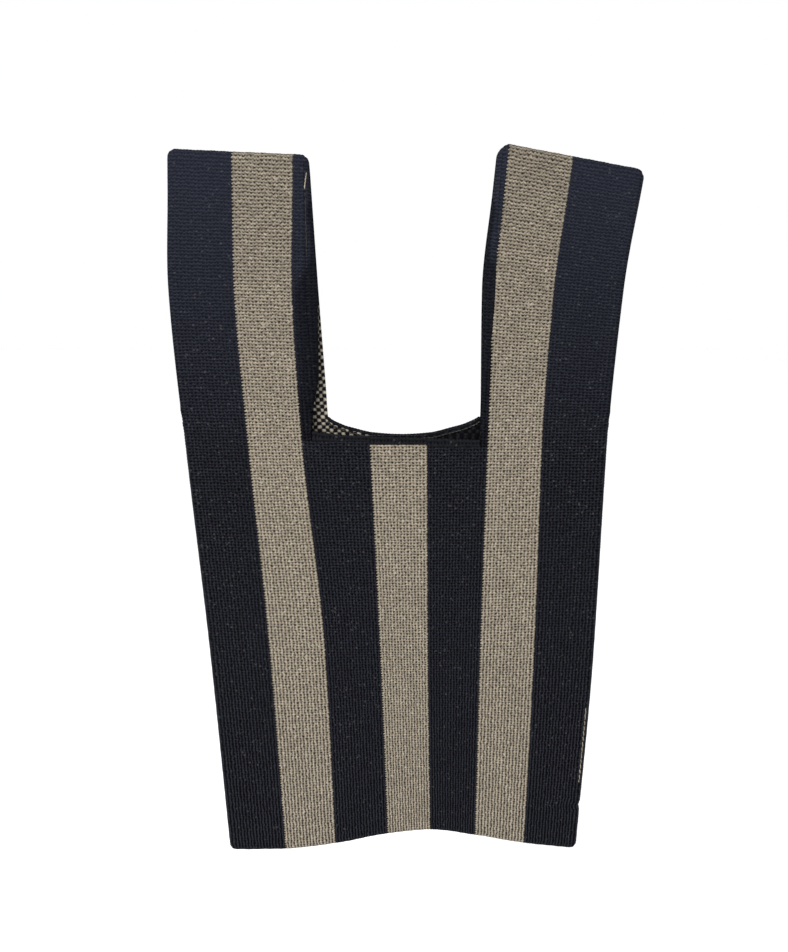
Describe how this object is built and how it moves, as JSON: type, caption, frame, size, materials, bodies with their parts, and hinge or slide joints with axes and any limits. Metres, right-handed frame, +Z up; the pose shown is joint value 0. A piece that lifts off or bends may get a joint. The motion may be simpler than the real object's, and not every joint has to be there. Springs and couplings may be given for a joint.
{
  "type": "knitted vest bag",
  "caption": "Vest-shaped double-knit shopping bag with bold vertical stripes, wide loop handles and an open scooped mouth between them.",
  "frame": {"origin": "the point the bag hangs from: midway between the handle loops, just under their top folds, between the front and back layers", "axes": "+Z up as the bag hangs, +X to the viewer's right when the front is seen, +Y from the front panel to the back panel"},
  "size_m": [0.2293, 0.0098, 0.3933],
  "materials": {
    "navy_knit": "tight double-bed knit in matt navy-black yarn",
    "beige_knit": "tight double-bed knit in matt grey-beige yarn",
    "hem_knit": "folded navy-black knitted hem",
    "seam_yarn": "linked seam in navy-black yarn"
  },
  "bodies": {
    "upper_body": {"back_neck_hem": "hem_knit", "back_upper_beige_centre": "beige_knit", "back_upper_beige_left": "beige_knit", "back_upper_beige_right": "beige_knit", "back_upper_navy_centre_left": "navy_knit", "back_upper_navy_centre_right": "navy_knit", "back_upper_navy_left": "navy_knit", "back_upper_navy_right": "navy_knit", "front_upper_beige_left": "beige_knit", "front_upper_beige_right": "beige_knit", "front_upper_navy_left": "navy_knit", "front_upper_navy_right": "navy_knit", "left_side_seam_upper": "seam_yarn", "right_side_seam_upper": "seam_yarn"},
    "left_handle": {"left_handle_beige": "beige_knit", "left_handle_inner_navy": "navy_knit", "left_handle_outer_navy": "navy_knit"},
    "right_handle": {"right_handle_beige": "beige_knit", "right_handle_inner_navy": "navy_knit", "right_handle_outer_navy": "navy_knit"},
    "front_mouth": {"front_neck_hem": "hem_knit", "mouth_beige_centre": "beige_knit", "mouth_navy_centre_left": "navy_knit", "mouth_navy_centre_right": "navy_knit"},
    "lower_body": {"back_lower_beige_centre": "beige_knit", "back_lower_beige_left": "beige_knit", "back_lower_beige_right": "beige_knit", "back_lower_navy_centre_left": "navy_knit", "back_lower_navy_centre_right": "navy_knit", "back_lower_navy_left": "navy_knit", "back_lower_navy_right": "navy_knit", "bottom_seam": "seam_yarn", "front_lower_beige_centre": "beige_knit", "front_lower_beige_left": "beige_knit", "front_lower_beige_right": "beige_knit", "front_lower_navy_centre_left": "navy_knit", "front_lower_navy_centre_right": "navy_knit", "front_lower_navy_left": "navy_knit", "front_lower_navy_right": "navy_knit", "left_side_seam_lower": "seam_yarn", "right_side_seam_lower": "seam_yarn"}
  },
  "joints": [
    {"name": "left_handle_fold", "type": "hinge", "parent": "upper_body", "child": "left_handle", "pos_m": [-0.08, 0.0052, -0.13385], "axis": [-1, 0, 0], "range_deg": [0, 165]},
    {"name": "right_handle_fold", "type": "hinge", "parent": "upper_body", "child": "right_handle", "pos_m": [0.075, 0.0052, -0.13385], "axis": [-1, 0, 0], "range_deg": [0, 165]},
    {"name": "mouth_open", "type": "hinge", "parent": "upper_body", "child": "front_mouth", "pos_m": [0, -0.0052, -0.2557], "axis": [1, 0, 0], "range_deg": [0, 8], "stiffness_Nm_per_rad": 0.03},
    {"name": "waist_fold", "type": "hinge", "parent": "upper_body", "child": "lower_body", "pos_m": [0, -0.0052, -0.25615], "axis": [-1, 0, 0], "range_deg": [0, 165]}
  ]
}
